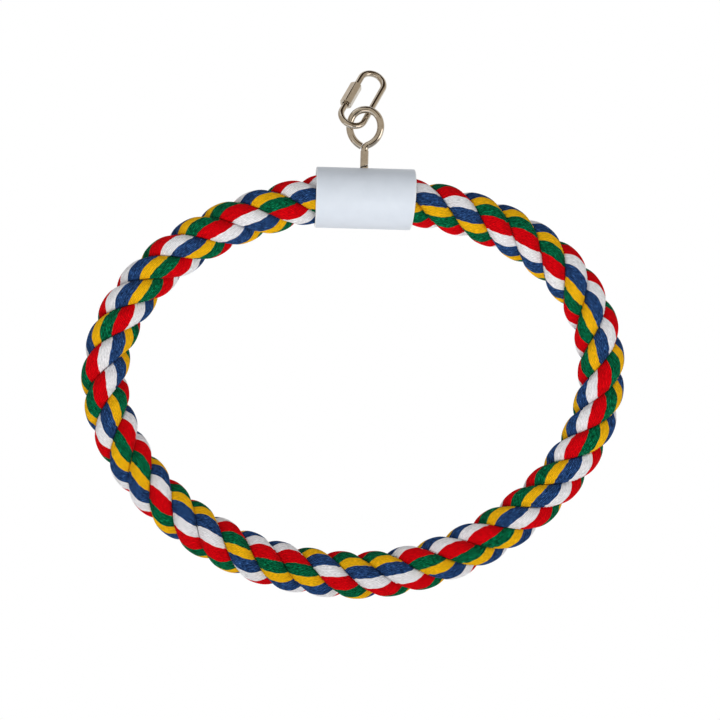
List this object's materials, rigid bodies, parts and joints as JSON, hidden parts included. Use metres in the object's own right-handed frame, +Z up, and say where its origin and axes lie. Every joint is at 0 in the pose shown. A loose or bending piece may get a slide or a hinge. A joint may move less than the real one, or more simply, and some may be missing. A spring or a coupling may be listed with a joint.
{
  "type": "bird swing",
  "caption": "Hanging bird swing: an upright ring of thick twisted cotton rope, closed by a plastic sleeve and hung from an eye bolt and a threaded quick link.",
  "frame": {"origin": "where the cage bar bears, on the inside of the quick link's upper bow", "axes": "+Z up, +X to the right across the ring, +Y away from the viewer through the ring"},
  "size_m": [0.4043, 0.0528, 0.396],
  "materials": {
    "nickel": "bright nickel plate on bent steel wire",
    "galvanised_steel": "dull zinc",
    "nylon": "plain nylon",
    "white_plastic": "satin, pale bluish white",
    "cotton": "soft twisted yarn in blue, yellow, green, red and white",
    "binding_tape": "plain cloth tape",
    "glue": "set hot glue"
  },
  "bodies": {
    "link": {"link_body": "nickel"},
    "nut": {"link_nut": "nickel"},
    "eye": {"eye_bolt": "nickel", "washer": "galvanised_steel", "lock_nut": "galvanised_steel", "lock_nut_insert": "nylon"},
    "ring": {"sleeve": "white_plastic", "rope_strand_1": "cotton", "rope_strand_2": "cotton", "rope_strand_3": "cotton", "end_tape_left": "binding_tape", "end_tape_right": "binding_tape", "glue_left": "glue", "glue_right": "glue"}
  },
  "joints": [
    {"name": "nut_travel", "type": "slide", "parent": "link", "child": "nut", "axis": [0.36, 0.5983, 0.7158], "range_m": [0, 0.0074]},
    {"name": "eye_rock", "type": "hinge", "parent": "link", "child": "eye", "pos_m": [-0.00644, -0.02627, -0.03774], "axis": [0, 1, 0], "range_deg": [-45, 45]},
    {"name": "ring_swivel", "type": "hinge", "parent": "eye", "child": "ring", "pos_m": [-0.00644, -0.02627, -0.07008], "axis": [0, 0, 1], "continuous": true}
  ]
}
